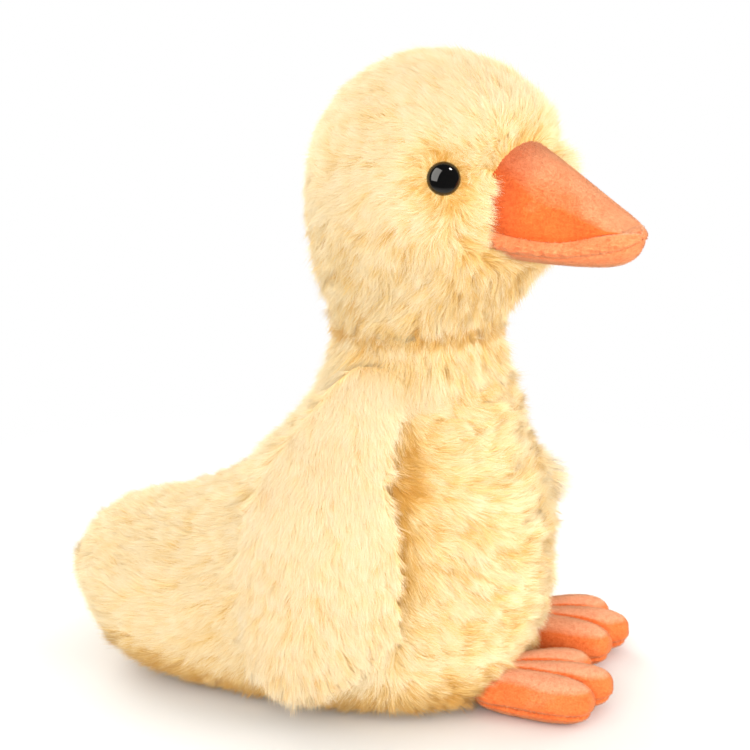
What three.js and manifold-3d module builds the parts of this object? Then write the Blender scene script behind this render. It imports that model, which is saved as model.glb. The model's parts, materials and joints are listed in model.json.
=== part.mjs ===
// A sitting plush duck: a stuffed fur body with head, bill, wings and feet sewn on.
// Millimetres, +Z up, bill towards +X, the duck's left side towards +Y.

import * as THREE from 'three';
import { mergeVertices } from 'three/addons/utils/BufferGeometryUtils.js';
import Module from 'manifold-3d';

const wasm = await Module();
wasm.setup();

// Gap between pieces that are sewn or pressed together
const seamGap = 0.3;

// How finely outer surfaces and inner ones are divided
const outerSteps = 26;
const outerSides = 26;
const innerSteps = 16;
const innerSides = 18;
const liningSteps = 20;

// Body: heights above the table, and reaches measured from the upright neck axis
const neckHeight = 143;
const neckRadius = 31.5;
const shoulderHeight = 104;
const shoulderBack = 46;
const chestReach = 51;
const chestHeight = 60;
const baseFront = 36;
const baseFrontHeight = 8;
const bodyHalfWidth = 57;
const backHeight = 70;
const tailReach = 134;
const tailTipHeight = 38;
const tailTopHeight = 60.5;
const tailTipHalfWidth = 22;
const baseSquareness = 4;
const firstBaseSection = 5;
const fullBaseSection = 8;
const seatDepth = 0.5;
const bodySkinThickness = 5;
const neckOverrun = 2;

// Base panel and the bag of beads that stands on it
const basePanelLength = 92;
const basePanelWidth = 50;
const basePanelThickness = 3;
const basePanelBack = 36;
const beadBagHeight = 26;
const beadBagInset = 3;

// Head: a near ball on a tapering throat
const headRadius = 50;
const headWidth = 98;
const throatLength = 52;
const crownRise = 51.5;
const headCentreHeight = neckHeight + throatLength;
const headForward = 9;
const headTurn = -12;
const faceHollow = 11;
const faceHollowWidth = 56;
const faceHollowHeight = 40;
const faceHollowRise = 16;
const crownSquareness = 2.06;
const throatFullness = 1.4;
const headSkinThickness = 7;

// Safety eyes and their lock washers
const eyeDiameter = 12;
const eyeDomeHeight = 4.4;
const eyeRimThickness = 0.8;
const eyeStemDiameter = 4;
const eyeAngle = 58;
const eyeRise = 14;
const eyeSides = 14;
const eyePocketDepth = 4.6;
const eyePocketClearance = 2;
const washerDiameter = 14;
const washerThickness = 1.6;
const washerSeatClearance = 3.4;
const stemOverhang = 1.5;

// Bill: a wedge with a straight ridge and a rounded tip
const billReach = 92.5;
const billBack = 34;
const billWidth = 58;
const billPocketDepth = 5.4;
const billPocketClearance = 1;
const billRidgeHeight = 34;
const billUnderDepth = 12.5;
const billSeamBelow = 8;
const billSeamHeight = headCentreHeight - billSeamBelow;
const billSeamDrop = 0.5;
const billSkinThickness = 1.8;
const billWidthTaper = { power: 1.6, root: 0.6 };
const billRidgeTaper = { power: 1.05, root: 0.97 };
const billUnderTaper = { power: 4, root: 0.5 };

// Wings: padded flaps that hang from the shoulders
const wingTopBelowNeck = 8;
const wingTopHeight = neckHeight - wingTopBelowNeck;
const wingBottomHeight = 17;
const wingTopWidth = 30;
const wingWidth = 64;
const wingCentreBack = 18;
const wingTopBack = 5;
const wingBottomSlant = 9;
const wingThickness = 13;
const wingTopThinness = 0.6;
const wingTopRound = 0.1;
const wingBottomRound = 0.28;
const wingWrap = 7;
const wingSkinThickness = 2.6;
const wingClearance = 0.6;
const wingSwingDepth = 4;
const rightWingSwing = 0;
const leftWingSwing = 17;

// Feet: three toes on a flat sole, hinged where the heel is sewn to the body
const toeLength = 53;
const toeWidth = 20;
const toeSplay = 23;
const sideToeShare = 0.92;
const webLength = 34;
const webWidth = 32;
const footHeight = 16.5;
const footLift = 1;
const soleThickness = 4.5;
const footSkinThickness = 1.6;
const ankleHeight = 7.5;
const rightAnkleForward = 29.5;
const rightAnkleSide = -20;
const rightFootHeading = 17;
const leftAnkleForward = 20.5;
const leftAnkleSide = 37;
const leftFootHeading = 17;
const footSwing = 25;

// Colours and finishes
const creamFur = new THREE.MeshStandardMaterial({ color: '#f6dc9f', roughness: 0.95, metalness: 0 });
const orangeVelour = new THREE.MeshStandardMaterial({ color: '#f5874a', roughness: 0.85, metalness: 0 });
const blackGloss = new THREE.MeshStandardMaterial({ color: '#0d0c0c', roughness: 0.08, metalness: 0 });
const whitePlastic = new THREE.MeshStandardMaterial({ color: '#e9e7e1', roughness: 0.5, metalness: 0 });
const whiteFibre = new THREE.MeshStandardMaterial({ color: '#f3f1ea', roughness: 1, metalness: 0 });
const liningCloth = new THREE.MeshStandardMaterial({ color: '#efd8a6', roughness: 0.9, metalness: 0 });

// Turns a closed geometry into a solid that can be cut and joined, right side out
function toSolid(geometry) {
  const bare = new THREE.BufferGeometry();
  bare.setAttribute('position', geometry.getAttribute('position').clone());
  bare.setIndex(geometry.getIndex());
  const merged = mergeVertices(bare, 1e-4);
  const vertProperties = new Float32Array(merged.getAttribute('position').array);
  const triVerts = new Uint32Array(merged.getIndex().array);
  const solid = new wasm.Manifold(new wasm.Mesh({ numProp: 3, vertProperties, triVerts }));
  if (solid.volume() > 0) return solid;
  return new wasm.Manifold(new wasm.Mesh({ numProp: 3, vertProperties, triVerts: triVerts.reverse() }));
}

// Turns a cut solid back into a geometry
function toGeometry(solid) {
  const mesh = solid.getMesh();
  const geometry = new THREE.BufferGeometry();
  geometry.setAttribute('position', new THREE.BufferAttribute(mesh.vertProperties, mesh.numProp));
  geometry.setIndex(new THREE.BufferAttribute(mesh.triVerts, 1));
  geometry.computeVertexNormals();
  return geometry;
}

// Closed solid through a row of rings that all have the same number of points
function loft(rings) {
  const around = rings[0].length;
  const points = rings.flat();
  const faces = [];
  for (let ring = 0; ring + 1 < rings.length; ring += 1) {
    for (let i = 0; i < around; i += 1) {
      const a = ring * around + i;
      const b = ring * around + (i + 1) % around;
      faces.push(a, b, a + around, b, b + around, a + around);
    }
  }
  const middle = (ring) => ring.reduce((sum, p) => sum.add(p), new THREE.Vector3()).divideScalar(around);
  const first = points.push(middle(rings[0])) - 1;
  const last = points.push(middle(rings.at(-1))) - 1;
  const lastRing = (rings.length - 1) * around;
  for (let i = 0; i < around; i += 1) {
    const next = (i + 1) % around;
    faces.push(first, next, i, last, lastRing + i, lastRing + next);
  }
  const geometry = new THREE.BufferGeometry().setFromPoints(points);
  geometry.setIndex(faces);
  return toSolid(geometry);
}

// Box given by its lowest and highest corners
function block(low, high) {
  const size = new THREE.Vector3().subVectors(high, low);
  const geometry = new THREE.BoxGeometry(size.x, size.y, size.z);
  geometry.translate(low.x + size.x / 2, low.y + size.y / 2, low.z + size.z / 2);
  return toSolid(geometry);
}

// Superellipse: -1 to 1 along each axis, squarer as the power grows above 2
function roundness(value, power) {
  return Math.sign(value) * Math.abs(value) ** (2 / power);
}

// Everything above a height, or below it
const far = 400;
const above = (height) => block(new THREE.Vector3(-far, -far, height), new THREE.Vector3(far, far, far));
const below = (height) => block(new THREE.Vector3(-far, -far, -far), new THREE.Vector3(far, far, height));

// Body sections from the neck to the tail: each runs from a point on the back to one on the front
const bodySections = [
  { back: [-neckRadius, neckHeight], front: [neckRadius, neckHeight], side: neckRadius },
  {
    back: [-neckRadius * 1.06, neckHeight * 0.9],
    front: [neckRadius * 1.05, neckHeight * 0.9],
    side: neckRadius * 1.06,
  },
  {
    back: [-shoulderBack * 0.83, shoulderHeight * 1.115],
    front: [chestReach * 0.71, shoulderHeight * 1.105],
    side: bodyHalfWidth * 0.67,
  },
  {
    back: [-shoulderBack, shoulderHeight],
    front: [chestReach * 0.81, shoulderHeight * 0.96],
    side: bodyHalfWidth * 0.77,
  },
  {
    back: [-tailReach * 0.425, shoulderHeight * 0.894],
    front: [chestReach * 0.95, chestHeight * 1.37],
    side: bodyHalfWidth * 0.895,
  },
  {
    back: [-tailReach * 0.52, backHeight * 1.125],
    front: [chestReach, chestHeight],
    side: bodyHalfWidth * 0.965,
  },
  {
    back: [-tailReach * 0.635, backHeight],
    front: [chestReach * 0.95, chestHeight * 0.6],
    side: bodyHalfWidth,
  },
  {
    back: [-tailReach * 0.746, tailTopHeight * 1.05],
    front: [baseFront, baseFrontHeight],
    side: bodyHalfWidth,
  },
  {
    back: [-tailReach * 0.85, tailTopHeight],
    front: [-baseFront * 0.14, -seatDepth],
    side: bodyHalfWidth * 0.947,
  },
  {
    back: [-tailReach * 0.933, tailTopHeight * 0.94],
    front: [-tailReach * 0.567, -seatDepth],
    side: bodyHalfWidth * 0.86,
  },
  {
    back: [-tailReach * 0.98, tailTopHeight * 0.844],
    front: [-tailReach * 0.815, tailTipHeight * 0.23],
    side: bodyHalfWidth * 0.684,
  },
  {
    back: [-tailReach, tailTipHeight * 1.21],
    front: [-tailReach * 0.925, tailTipHeight * 0.684],
    side: tailTipHalfWidth,
  },
];
const sectionRow = (s) => [...s.back, ...s.front, s.side];
const bodyCurve = new THREE.CubicInterpolant(
  Float32Array.from(bodySections.keys()), Float32Array.from(bodySections.flatMap(sectionRow)), 5);

// Middle, long axis and half sizes of the body's section at a place between 0 and the last section
function bodySection(place) {
  const [backX, backZ, frontX, frontZ, halfWidth] = bodyCurve.evaluate(place);
  const back = new THREE.Vector3(backX, 0, backZ);
  const front = new THREE.Vector3(frontX, 0, frontZ);
  const centre = back.clone().add(front).divideScalar(2);
  const axis = back.clone().sub(front).normalize();
  return { centre, axis, halfWidth, halfLength: back.distanceTo(front) / 2 };
}

// Body form, shrunk by an inset all round; rise lifts its neck end to open a hollow there
function bodyForm(inset, along, around, rise = 0) {
  const lastSection = bodySections.length - 1;
  const tail = bodySection(lastSection).centre;
  let end = lastSection;
  while (bodySection(end).centre.distanceTo(tail) < inset) end -= 0.01;
  const places = [];
  for (let step = 0; step <= along; step += 1) places.push((lastSection * step) / along);
  const rings = [];
  for (const place of [...places.filter((p) => p < end - 0.1), end]) {
    const section = bodySection(place);
    const { centre, axis } = section;
    const half = section.halfLength - inset;
    const side = section.halfWidth - inset;
    const flattening = THREE.MathUtils.smoothstep(place, firstBaseSection, fullBaseSection);
    const square = THREE.MathUtils.lerp(2, baseSquareness, flattening);
    const ring = [];
    for (let i = 0; i < around; i += 1) {
      const angle = (2 * Math.PI * i) / around;
      const power = Math.cos(angle) < 0 ? square : 2;
      const point = centre.clone().addScaledVector(axis, half * roundness(Math.cos(angle), power));
      point.y = side * roundness(Math.sin(angle), power);
      ring.push(point);
    }
    rings.push(ring);
  }
  if (rise > 0) rings.unshift(rings[0].map((p) => p.clone().setZ(p.z + rise)));
  return loft(rings);
}

// Ellipse of points at one height, centred on the sagittal plane
function levelRing(x, z, halfLength, halfWidth, around) {
  const ring = [];
  for (let i = 0; i < around; i += 1) {
    const angle = (2 * Math.PI * i) / around;
    ring.push(new THREE.Vector3(x + halfLength * Math.cos(angle), halfWidth * Math.sin(angle), z));
  }
  return ring;
}

// Head form from the neck seam to the crown, hollowed round the bill and shrunk by an inset;
// drop lowers its neck end
function headForm(inset, throat, crown, around, drop = 0) {
  const bottom = neckHeight + seamGap;
  const rings = [];
  if (drop > 0) rings.push(levelRing(0, bottom - drop, neckRadius - inset, neckRadius - inset, around));
  for (let step = 0; step < throat; step += 1) {
    const blend = Math.sin((Math.PI / 2) * (step / throat)) ** throatFullness;
    const height = THREE.MathUtils.lerp(bottom, headCentreHeight, step / throat);
    const length = THREE.MathUtils.lerp(neckRadius, headRadius, blend) - inset;
    const width = THREE.MathUtils.lerp(neckRadius, headWidth / 2, blend) - inset;
    rings.push(levelRing(headForward * blend, height, length, width, around));
  }
  for (let step = 0; step < crown; step += 1) {
    const angle = (Math.PI / 2) * (step / (crown - 0.5));
    const shrink = roundness(Math.cos(angle), crownSquareness);
    const rise = (crownRise - inset) * roundness(Math.sin(angle), crownSquareness);
    const length = (headRadius - inset) * shrink;
    const width = (headWidth / 2 - inset) * shrink;
    rings.push(levelRing(headForward, headCentreHeight + rise, length, width, around));
  }
  for (const point of rings.flat().filter((p) => p.x > 0)) {
    const across = point.y / (faceHollowWidth / 2);
    const above = (point.z - billSeamHeight - faceHollowRise) / (faceHollowHeight / 2);
    const depth = faceHollow * Math.exp(-(across ** 2) - above ** 2);
    point.x -= depth * THREE.MathUtils.smoothstep(point.x, 0, headRadius / 2);
  }
  return loft(rings);
}

// Share left of a size at s, from 0 at the bill's root to 1 at its tip
const taper = (s, { power, root }) => (1 - s ** power) ** root;

// Bill form from inside the face to the tip: domed above its seam, shallow below
function billForm(inset, along, around) {
  const reach = billReach - billBack - inset;
  const rings = [];
  for (let step = 0; step < along; step += 1) {
    const s = Math.sin((Math.PI / 2) * (step / (along - 0.4)));
    const width = (billWidth / 2 - inset) * taper(s, billWidthTaper);
    const ridge = (billRidgeHeight - inset) * taper(s, billRidgeTaper);
    const under = (billUnderDepth - inset) * taper(s, billUnderTaper);
    const seamHeight = billSeamHeight - billSeamDrop * s;
    const ring = [];
    for (let i = 0; i < around; i += 1) {
      const angle = (2 * Math.PI * i) / around;
      const rise = Math.sin(angle) * (Math.sin(angle) > 0 ? ridge : under);
      ring.push(new THREE.Vector3(billBack + s * reach, width * Math.cos(angle), seamHeight + rise));
    }
    rings.push(ring);
  }
  return loft(rings);
}

// Half-space over or under the bill's side seam, as a large tilted block
function billSide(up) {
  const geometry = new THREE.BoxGeometry(far, far, far);
  geometry.translate(0, 0, up * (far / 2 + seamGap / 2));
  geometry.rotateY(Math.atan2(billSeamDrop, billReach - billBack));
  geometry.translate(billBack, 0, billSeamHeight);
  return toSolid(geometry);
}

// Shape turned about the Y axis of the geometry, then stood on the head where an eye goes
function atEye(profile, side) {
  const geometry = new THREE.LatheGeometry(profile.map(([r, y]) => new THREE.Vector2(r, y)), eyeSides);
  const lift = eyeRise / crownRise;
  const level = Math.sqrt(1 - lift ** 2);
  const angle = THREE.MathUtils.degToRad(eyeAngle);
  const place = new THREE.Vector3(
    headForward + headRadius * level * Math.cos(angle),
    (side * headWidth * level * Math.sin(angle)) / 2,
    headCentreHeight + eyeRise);
  const outward = new THREE.Vector3(
    (place.x - headForward) / headRadius ** 2,
    place.y / (headWidth / 2) ** 2,
    eyeRise / crownRise ** 2).normalize();
  geometry.applyQuaternion(new THREE.Quaternion().setFromUnitVectors(new THREE.Vector3(0, 1, 0), outward));
  geometry.translate(place.x, place.y, place.z);
  return geometry;
}

// Solid of revolution on the eye's axis, from one depth under the fur surface to another
function eyePlug(radius, shallow, deep, side) {
  return toSolid(atEye([[0, -deep], [radius, -deep], [radius, -shallow], [0, -shallow]], side));
}

// Half width of the body at a height, read from the middle line of its sections
function bodySideAt(height) {
  const widest = bodySections.findIndex((s) => s.side === bodyHalfWidth);
  for (let place = 0; place < widest; place += 0.05) {
    const { centre, halfWidth } = bodySection(place);
    if (centre.z <= height) return halfWidth;
  }
  return bodyHalfWidth;
}

// Places a shape made for the duck's left side: mirrored for the right, swung about the shoulder
function wingMatrix(side, swing) {
  const shoulder = new THREE.Vector3(0, 0, wingTopHeight - wingSwingDepth);
  return new THREE.Matrix4()
    .makeTranslation(shoulder)
    .multiply(new THREE.Matrix4().makeRotationY(-THREE.MathUtils.degToRad(swing)))
    .multiply(new THREE.Matrix4().makeTranslation(shoulder.clone().negate()))
    .multiply(new THREE.Matrix4().makeScale(1, side, 1));
}

// One level of the wing, from 0 at its top to 1 at its bottom edge
function wingLevel(t) {
  const height = THREE.MathUtils.lerp(wingTopHeight, wingBottomHeight, t);
  const widening = THREE.MathUtils.smoothstep(t, 0, 0.6);
  const thickening = THREE.MathUtils.smoothstep(t, 0, 0.4);
  const bottom = Math.sqrt(1 - Math.max(0, (t - 1 + wingBottomRound) / (wingBottomRound + 0.005)) ** 2);
  const top = Math.sqrt(1 - Math.max(0, (wingTopRound - t) / (wingTopRound + 0.005)) ** 2);
  const thickest = (wingThickness / 2) * THREE.MathUtils.lerp(wingTopThinness, 1, thickening);
  const back = (wingCentreBack - wingTopBack) * THREE.MathUtils.smoothstep(t, 0, 0.35);
  const slant = wingBottomSlant * THREE.MathUtils.smoothstep(t, 0.75, 1);
  return {
    height,
    halfWidth: THREE.MathUtils.lerp(wingTopWidth, wingWidth, widening) * bottom * top / 2,
    halfThickness: thickest * Math.sqrt(bottom * top),
    x: -wingTopBack - back - slant,
    y: bodySideAt(height) + wingClearance + thickest * Math.sqrt(top),
  };
}

// Wing form: flat ellipses stacked down the flap, shrunk by an inset
function wingForm(inset, along, around) {
  const rings = [];
  for (let step = 0; step <= along; step += 1) {
    const level = wingLevel(0.5 - 0.5 * Math.cos((Math.PI * step) / along));
    const halfWidth = level.halfWidth - inset;
    const halfThickness = level.halfThickness - inset;
    if (Math.min(halfWidth, halfThickness) < 0.4) continue;
    const ring = [];
    for (let i = 0; i < around; i += 1) {
      const angle = (2 * Math.PI * i) / around;
      ring.push(new THREE.Vector3(
        level.x + halfWidth * Math.cos(angle),
        level.y + halfThickness * Math.sin(angle),
        level.height));
    }
    rings.push(ring);
  }
  return loft(rings);
}

// Everything outside or inside the wing's middle surface, less half a seam gap
function wingHalf(outside) {
  const line = [];
  for (let step = 0; step <= 12; step += 1) {
    const level = wingLevel(step / 12);
    line.push(new THREE.Vector2(level.y + outside * seamGap / 2, level.height));
  }
  const shape = new THREE.Shape([
    new THREE.Vector2(line[0].x, far), ...line, new THREE.Vector2(line.at(-1).x, -far),
    new THREE.Vector2(outside * far, -far), new THREE.Vector2(outside * far, far)]);
  const options = { depth: 2 * wingWidth, steps: outerSteps, bevelEnabled: false };
  const geometry = new THREE.ExtrudeGeometry(shape, options);
  geometry.translate(0, 0, -wingCentreBack - wingWidth);
  geometry.applyMatrix4(new THREE.Matrix4().makeBasis(
    new THREE.Vector3(0, 1, 0), new THREE.Vector3(0, 0, 1), new THREE.Vector3(1, 0, 0)));
  return toSolid(geometry);
}

// Curves a wing's shape round the duck's side, then puts it in its place
function seatWing(solid, matrix) {
  const geometry = toGeometry(solid);
  const points = geometry.getAttribute('position');
  for (let i = 0; i < points.count; i += 1) {
    const outFromMiddle = (points.getX(i) + wingCentreBack) / (wingWidth / 2);
    points.setY(i, points.getY(i) - wingWrap * outFromMiddle ** 2);
  }
  return toSolid(geometry.applyMatrix4(matrix));
}

// Foot form at its heel, pointing along +X: three toes and a web, flat underneath
function footForm(inset, matrix) {
  const halfHeight = (footHeight + 1) / 2;
  const pieces = [
    { length: toeLength, width: toeWidth, turn: 0 },
    { length: toeLength * sideToeShare, width: toeWidth, turn: toeSplay },
    { length: toeLength * sideToeShare, width: toeWidth, turn: -toeSplay },
    { length: webLength, width: webWidth, turn: 0 },
  ];
  const solids = pieces.map(({ length, width, turn }) => {
    const geometry = new THREE.SphereGeometry(1, 14, 8);
    geometry.rotateX(Math.PI / 2);
    geometry.scale(length / 2 - inset, width / 2 - inset, halfHeight - inset);
    geometry.translate(length / 2, 0, footLift + footHeight - halfHeight);
    geometry.rotateZ(THREE.MathUtils.degToRad(turn));
    geometry.applyMatrix4(matrix);
    return toSolid(geometry);
  });
  return solids.reduce((a, b) => a.add(b)).intersect(above(footLift + inset));
}

const group = new THREE.Group();

// Adds one named piece, turned about the neck axis by an angle in degrees
function addPiece(name, solid, material, turn = 0) {
  const mesh = new THREE.Mesh(toGeometry(solid), material);
  mesh.name = name;
  mesh.rotation.z = THREE.MathUtils.degToRad(turn);
  group.add(mesh);
}

// Body: skin with openings at the neck and base, stuffing, base panel and bead bag
const fillingInset = bodySkinThickness + seamGap;
const bodyOuter = bodyForm(0, outerSteps, outerSides).intersect(above(0));
const bodyHollow = bodyForm(bodySkinThickness, innerSteps, innerSides, neckOverrun)
  .intersect(above(bodySkinThickness));
const bodyFilling = bodyForm(fillingInset, innerSteps, innerSides).intersect(above(fillingInset));
const bodyCutter = bodyForm(-seamGap, outerSteps, outerSides);

// Oval plate under the body, grown all round, between two heights
function basePlug(grow, low, high) {
  const shape = new THREE.Shape();
  const halfLength = basePanelLength / 2 + grow;
  shape.absellipse(-basePanelBack, 0, halfLength, basePanelWidth / 2 + grow, 0, 2 * Math.PI);
  const options = { depth: high - low, bevelEnabled: false, curveSegments: innerSteps };
  const geometry = new THREE.ExtrudeGeometry(shape, options);
  geometry.translate(0, 0, low);
  return toSolid(geometry);
}

// Flattened bag that stands on the base panel, grown all round
function beadBag(grow) {
  const geometry = new THREE.SphereGeometry(1, 20, 12);
  geometry.rotateX(Math.PI / 2);
  geometry.scale(
    basePanelLength / 2 - beadBagInset + grow,
    basePanelWidth / 2 - beadBagInset + grow,
    beadBagHeight / 2 + grow);
  geometry.translate(-basePanelBack, 0, basePanelThickness + seamGap + beadBagHeight / 2);
  return toSolid(geometry);
}

const baseOpening = basePlug(seamGap, -1, bodySkinThickness + 1);
addPiece('body_skin', bodyOuter.subtract(bodyHollow).subtract(baseOpening), creamFur);
addPiece('base_panel', basePlug(0, 0, basePanelThickness), creamFur);
addPiece('body_stuffing', bodyFilling.subtract(beadBag(seamGap)), whiteFibre);
addPiece('bead_bag', beadBag(0), liningCloth);

// Head: skin open at the neck, stuffing, eyes and their lock washers
const throatSteps = 9;
const crownSteps = 8;
const headHollow = headForm(headSkinThickness, throatSteps - 2, crownSteps - 2, outerSides - 2, neckOverrun);
let headSkin = headForm(0, throatSteps, crownSteps, outerSides).subtract(headHollow);
let headStuffing = headForm(headSkinThickness + seamGap, throatSteps - 2, crownSteps - 2, outerSides - 2);
const eyeRadius = eyeDiameter / 2;
const stemRadius = eyeStemDiameter / 2;
const washerDepth = headSkinThickness + washerSeatClearance;
const stemDepth = washerDepth + washerThickness + stemOverhang;
for (const [name, side] of [['right_eye', -1], ['left_eye', 1]]) {
  const rimTop = -eyePocketDepth + seamGap + eyeRimThickness;
  const dome = [];
  for (let step = 0; step <= 4; step += 1) {
    const angle = (Math.PI / 2) * (step / 4);
    dome.push([eyeRadius * Math.sin(angle), rimTop + eyeDomeHeight * Math.cos(angle)]);
  }
  const rimBottom = rimTop - eyeRimThickness;
  const eye = [
    ...dome, [eyeRadius, rimBottom], [stemRadius, rimBottom], [stemRadius, -stemDepth], [0, -stemDepth],
  ].reverse();
  addPiece(name, toSolid(atEye(eye, side)), blackGloss, headTurn);
  const washer = eyePlug(washerDiameter / 2, washerDepth, washerDepth + washerThickness, side)
    .subtract(eyePlug(stemRadius + seamGap, 0, stemDepth, side));
  addPiece(`${name}_washer`, washer, whitePlastic, headTurn);
  headSkin = headSkin
    .subtract(eyePlug(eyeRadius + eyePocketClearance, -eyeDiameter, eyePocketDepth, side))
    .subtract(eyePlug(stemRadius + seamGap, 0, stemDepth, side));
  headStuffing = headStuffing.subtract(eyePlug(washerDiameter / 2 + seamGap, 0, stemDepth + seamGap, side));
}
const billSteps = 12;
const billSides = 20;
const billSeat = headForm(billPocketDepth, throatSteps, crownSteps, outerSides);
headSkin = headSkin.subtract(billForm(-billPocketClearance, billSteps, billSides).subtract(billSeat));
addPiece('head_skin', headSkin, creamFur, headTurn);
addPiece('head_stuffing', headStuffing, whiteFibre, headTurn);

// Bill: upper and lower skins that meet at the side seam, round one stuffing
const billCutter = headForm(billPocketDepth - seamGap, throatSteps, crownSteps, outerSides);
const billHollow = billForm(billSkinThickness, billSteps - 4, billSides - 6);
const billFilling = billForm(billSkinThickness + seamGap, billSteps - 4, billSides - 6);
const billShell = billForm(0, billSteps, billSides).subtract(billHollow).subtract(billCutter);
addPiece('bill_upper_skin', billShell.intersect(billSide(1)), orangeVelour, headTurn);
addPiece('bill_lower_skin', billShell.intersect(billSide(-1)), orangeVelour, headTurn);
addPiece('bill_stuffing', billFilling.subtract(billCutter), whiteFibre, headTurn);

// Wings: outer and lining panels round a padding
for (const [name, side, swing] of [['right_wing', -1, rightWingSwing], ['left_wing', 1, leftWingSwing]]) {
  const matrix = wingMatrix(side, swing);
  const flap = seatWing(wingForm(0, 11, 18), matrix).subtract(bodyCutter);
  const lined = bodyForm(-seamGap - wingSkinThickness, liningSteps, liningSteps);
  const hollow = seatWing(wingForm(wingSkinThickness, 9, 12), matrix).subtract(lined);
  const shell = flap.subtract(hollow);
  const padded = bodyForm(-2 * seamGap - wingSkinThickness, liningSteps, liningSteps);
  const padding = seatWing(wingForm(wingSkinThickness + seamGap, 9, 12), matrix).subtract(padded);
  addPiece(`${name}_outer`, shell.intersect(seatWing(wingHalf(1), matrix)), creamFur);
  addPiece(`${name}_lining`, shell.intersect(seatWing(wingHalf(-1), matrix)), liningCloth);
  addPiece(`${name}_padding`, padding, whiteFibre);
}

// Feet: velour upper and sole that meet at a level seam, round one stuffing
for (const [name, forward, side, headingAngle] of [
  ['right_foot', rightAnkleForward, rightAnkleSide, rightFootHeading],
  ['left_foot', leftAnkleForward, leftAnkleSide, leftFootHeading],
]) {
  const heading = new THREE.Matrix4().makeRotationZ(THREE.MathUtils.degToRad(headingAngle));
  const matrix = new THREE.Matrix4().makeTranslation(forward, side, 0).multiply(heading);
  const hinge = new THREE.Vector3(forward, side, ankleHeight);
  const sideways = new THREE.Vector3(0, 1, 0).applyMatrix4(heading);
  const bodySwung = (grow, degrees) => {
    const turned = new THREE.Matrix4().makeTranslation(hinge)
      .multiply(new THREE.Matrix4().makeRotationAxis(sideways, THREE.MathUtils.degToRad(degrees)))
      .multiply(new THREE.Matrix4().makeTranslation(hinge.clone().negate()));
    return toSolid(toGeometry(bodyForm(-grow, outerSteps, outerSides)).applyMatrix4(turned));
  };
  const relieved = (solid, grow) => [0, footSwing / 2, footSwing]
    .reduce((left, degrees) => left.subtract(bodySwung(grow, degrees)), solid);
  const outer = relieved(footForm(0, matrix), seamGap);
  const hollow = footForm(footSkinThickness, matrix);
  const seam = footLift + soleThickness;
  const shell = outer.subtract(hollow);
  addPiece(`${name}_upper`, shell.intersect(above(seam + seamGap / 2)), orangeVelour);
  addPiece(`${name}_sole`, shell.intersect(below(seam - seamGap / 2)), orangeVelour);
  addPiece(`${name}_stuffing`, relieved(footForm(footSkinThickness + seamGap, matrix), seamGap), whiteFibre);
}

// The origin is the middle of the base, under the whole duck
const bounds = new THREE.Box3().setFromObject(group, true);
const middle = bounds.getCenter(new THREE.Vector3());
group.position.set(-middle.x, -middle.y, -bounds.min.z);

export default group;
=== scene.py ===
"""Looks of the plush duck: fur, velour, eyes, floor and light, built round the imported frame.

Shapes are worked out in millimetres from the duck's upright neck axis, bill towards +X, and
moved into the row frame in metres when a mesh is made.
"""

import json
import math

import bpy
import numpy as np
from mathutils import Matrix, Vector
from mathutils.kdtree import KDTree


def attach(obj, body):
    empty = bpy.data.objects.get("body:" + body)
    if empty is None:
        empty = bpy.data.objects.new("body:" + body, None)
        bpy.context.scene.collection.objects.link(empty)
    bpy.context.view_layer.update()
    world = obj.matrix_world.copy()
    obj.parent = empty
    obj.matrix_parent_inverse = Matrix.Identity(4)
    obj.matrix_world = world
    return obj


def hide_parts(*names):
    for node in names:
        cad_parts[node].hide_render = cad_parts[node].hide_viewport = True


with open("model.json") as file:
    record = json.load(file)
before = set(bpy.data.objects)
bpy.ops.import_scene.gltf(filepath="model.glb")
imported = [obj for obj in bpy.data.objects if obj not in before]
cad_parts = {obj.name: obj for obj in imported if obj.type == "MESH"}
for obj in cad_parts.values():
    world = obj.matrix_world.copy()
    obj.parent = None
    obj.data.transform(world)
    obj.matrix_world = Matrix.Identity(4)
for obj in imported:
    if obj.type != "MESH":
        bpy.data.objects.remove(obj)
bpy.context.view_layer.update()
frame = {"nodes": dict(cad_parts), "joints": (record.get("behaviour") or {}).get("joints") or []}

NECK = next(j for j in frame["joints"] if j["name"] == "neck_turn")["pos_m"]
SHIFT = np.array([NECK[0] * 1000, NECK[1] * 1000, 0.0])

# Body
NECK_HEIGHT = 143.0
NECK_RADIUS = 31.5
SHOULDER_HEIGHT = 104.0
SHOULDER_BACK = 46.0
CHEST_REACH = 51.0
CHEST_HEIGHT = 60.0
BASE_FRONT = 36.0
BASE_FRONT_HEIGHT = 8.0
BODY_HALF_WIDTH = 57.0
BACK_HEIGHT = 70.0
TAIL_REACH = 134.0
TAIL_TIP_HEIGHT = 38.0
TAIL_TOP_HEIGHT = 60.5
TAIL_TIP_HALF_WIDTH = 22.0
BASE_SQUARENESS = 4.0
SEAT_DEPTH = 0.5
PANEL_MIDDLE = -36.0
PANEL_HALF_LENGTH = 46.0
PANEL_HALF_WIDTH = 25.0

# Head
HEAD_RADIUS = 50.0
HEAD_WIDTH = 98.0
HEAD_CENTRE_HEIGHT = 195.0
CROWN_RISE = 51.5
HEAD_FORWARD = 9.0
HEAD_TURN = -12.0
FACE_HOLLOW = 11.0
FACE_HOLLOW_WIDTH = 56.0
FACE_HOLLOW_HEIGHT = 40.0
FACE_HOLLOW_RISE = 16.0
CROWN_SQUARENESS = 2.06
THROAT_FULLNESS = 1.4

# Eyes
EYE_DIAMETER = 12.0
EYE_ANGLE = 58.0
EYE_RISE = 14.0
EYE_POCKET_DEPTH = 4.6
EYE_GAP = 0.3
EYE_RIM = 0.8
EYE_DOME_HEIGHT = 4.4
EYE_STEM_RADIUS = 2.0
EYE_STEM_END = -11.0
FUR_OVER_EYE = 0.6

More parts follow.
